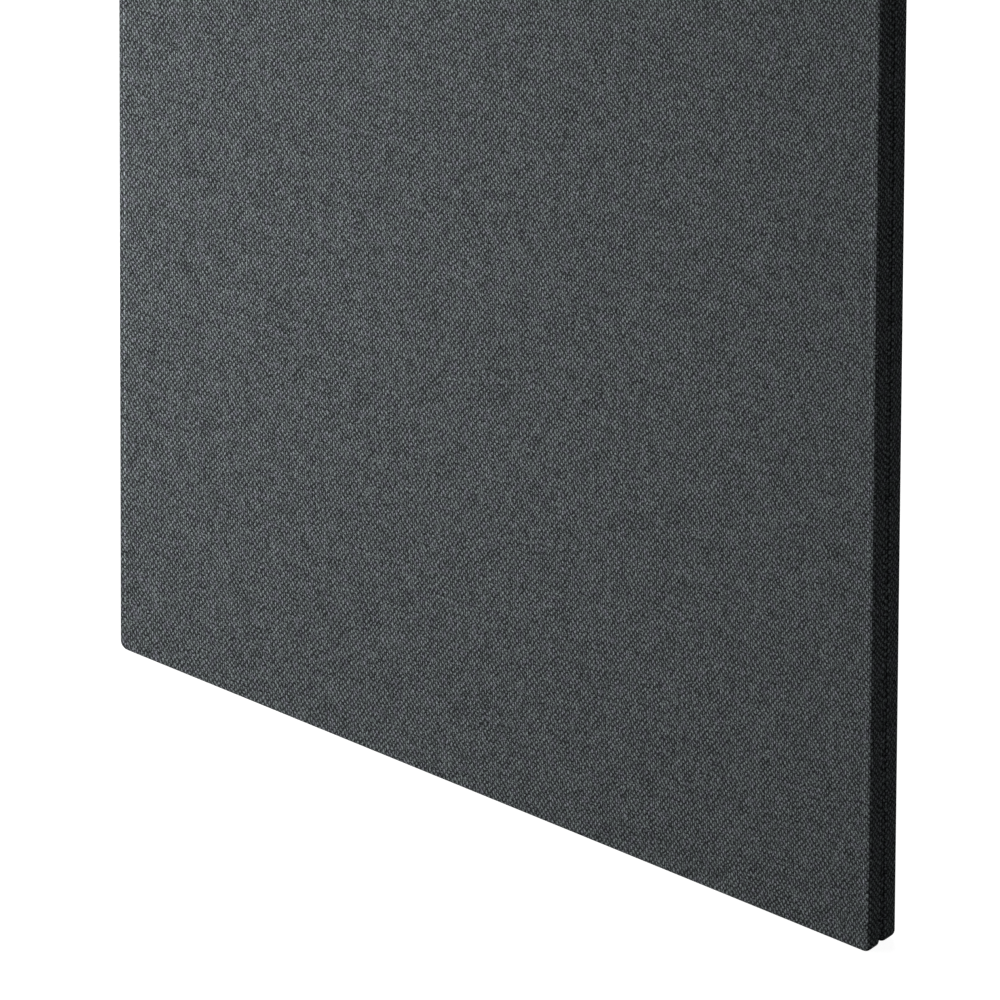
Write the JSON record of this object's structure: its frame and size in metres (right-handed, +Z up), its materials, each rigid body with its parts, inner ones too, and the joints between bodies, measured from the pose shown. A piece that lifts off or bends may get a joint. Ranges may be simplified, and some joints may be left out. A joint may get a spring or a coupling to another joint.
{
  "type": "partition wall panel",
  "caption": "Flat upholstered partition wall panel with rounded edges and a zip hidden in the groove between its two halves.",
  "frame": {"origin": "middle of the underside, on the floor plane", "axes": "+X along the width, +Y through the thickness towards the rear face, +Z up; the front face looks to -Y"},
  "size_m": [0.8, 0.037, 1.8],
  "materials": {
    "cover_fabric": "woven polyester, dark slate grey melange",
    "foam_wrap": "open-cell wrap foam",
    "facing_board": "smooth hardboard",
    "frame_timber": "planed softwood",
    "dowel_wood": "fluted beech",
    "absorber_felt": "pressed polyester felt",
    "pin_steel": "bright wire",
    "zip_tape": "woven herringbone tape",
    "zip_coil": "moulded nylon coil",
    "zip_metal": "dark lacquered die casting",
    "seam_tape": "woven tape",
    "foot_steel": "black powder coat",
    "screw_steel": "zinc plated"
  },
  "bodies": {
    "panel": {"front_cover": "cover_fabric", "rear_cover": "cover_fabric", "front_foam": "foam_wrap", "rear_foam": "foam_wrap", "front_board": "facing_board", "rear_board": "facing_board", "stile_left": "frame_timber", "stile_right": "frame_timber", "bottom_rail": "frame_timber", "mid_rail_lower": "frame_timber", "mid_rail_upper": "frame_timber", "top_rail": "frame_timber", "frame_dowels": "dowel_wood", "board_pins": "pin_steel", "absorber_lower": "absorber_felt", "absorber_middle": "absorber_felt", "absorber_upper": "absorber_felt", "zip_tape_front": "zip_tape", "zip_tape_rear": "zip_tape", "zip_coil_front": "zip_coil", "zip_coil_rear": "zip_coil", "zip_end_stops": "zip_metal", "bottom_seam_tape": "seam_tape", "foot_plate_left": "foot_steel", "foot_plate_right": "foot_steel", "foot_plate_screws": "screw_steel"},
    "zip_slider": {"zip_slider": "zip_metal"},
    "zip_pull": {"zip_pull": "zip_metal"}
  },
  "joints": [
    {"name": "zip_slide", "type": "slide", "parent": "panel", "child": "zip_slider", "axis": [0, 0, 1], "range_m": [0, 1.7]},
    {"name": "zip_pull_swing", "type": "hinge", "parent": "zip_slider", "child": "zip_pull", "pos_m": [-0.39675, 0, 0.0653], "axis": [0, 1, 0], "range_deg": [0, 170]}
  ]
}
